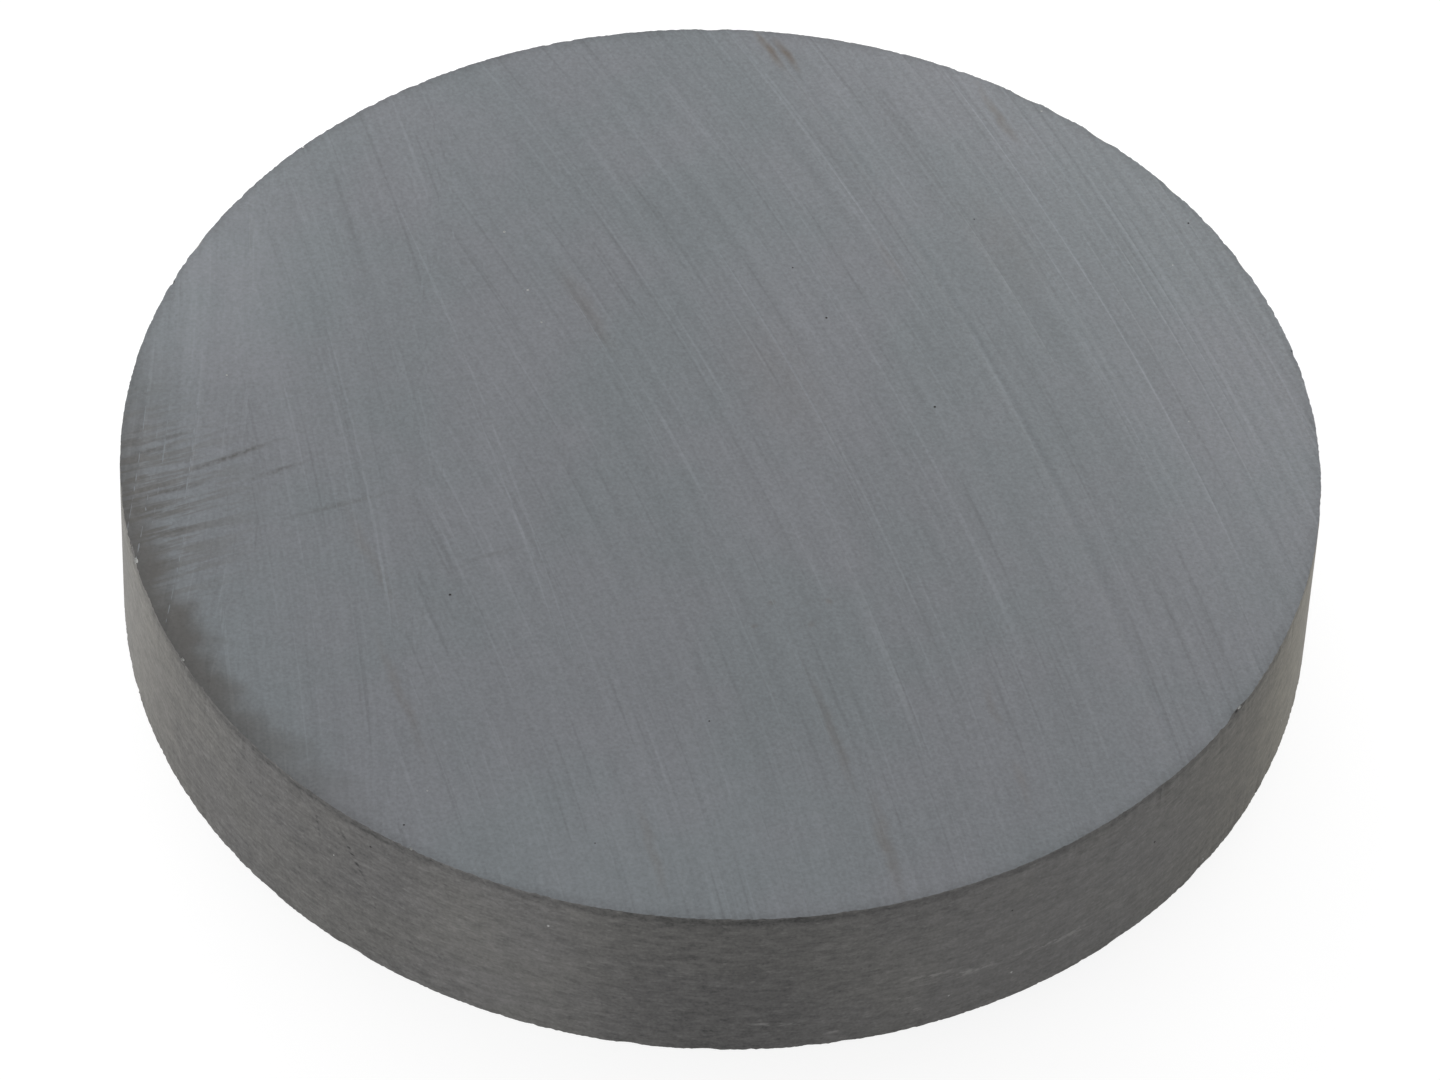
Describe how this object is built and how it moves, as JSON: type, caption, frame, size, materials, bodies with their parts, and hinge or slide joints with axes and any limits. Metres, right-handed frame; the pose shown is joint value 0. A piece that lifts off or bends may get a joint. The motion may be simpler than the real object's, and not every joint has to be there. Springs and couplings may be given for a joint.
{
  "type": "holding magnet",
  "caption": "Plain flat disc magnet of sintered hard ferrite with ground pole faces and slightly chipped edges, held by its pull on steel or set in a round pocket.",
  "frame": {"origin": "middle of the bottom pole face", "axes": "+Z along the disc's axis from the bottom pole face to the top one; X and Y lie in the bottom pole face"},
  "size_m": [0.03, 0.03, 0.005],
  "materials": {
    "sintered_ferrite": "sintered strontium ferrite, dark grey; pole faces ground to a satin grey, rim as fired, edges slightly chipped"
  },
  "bodies": {
    "root": {"ferrite_disc": "sintered_ferrite"}
  },
  "joints": []
}
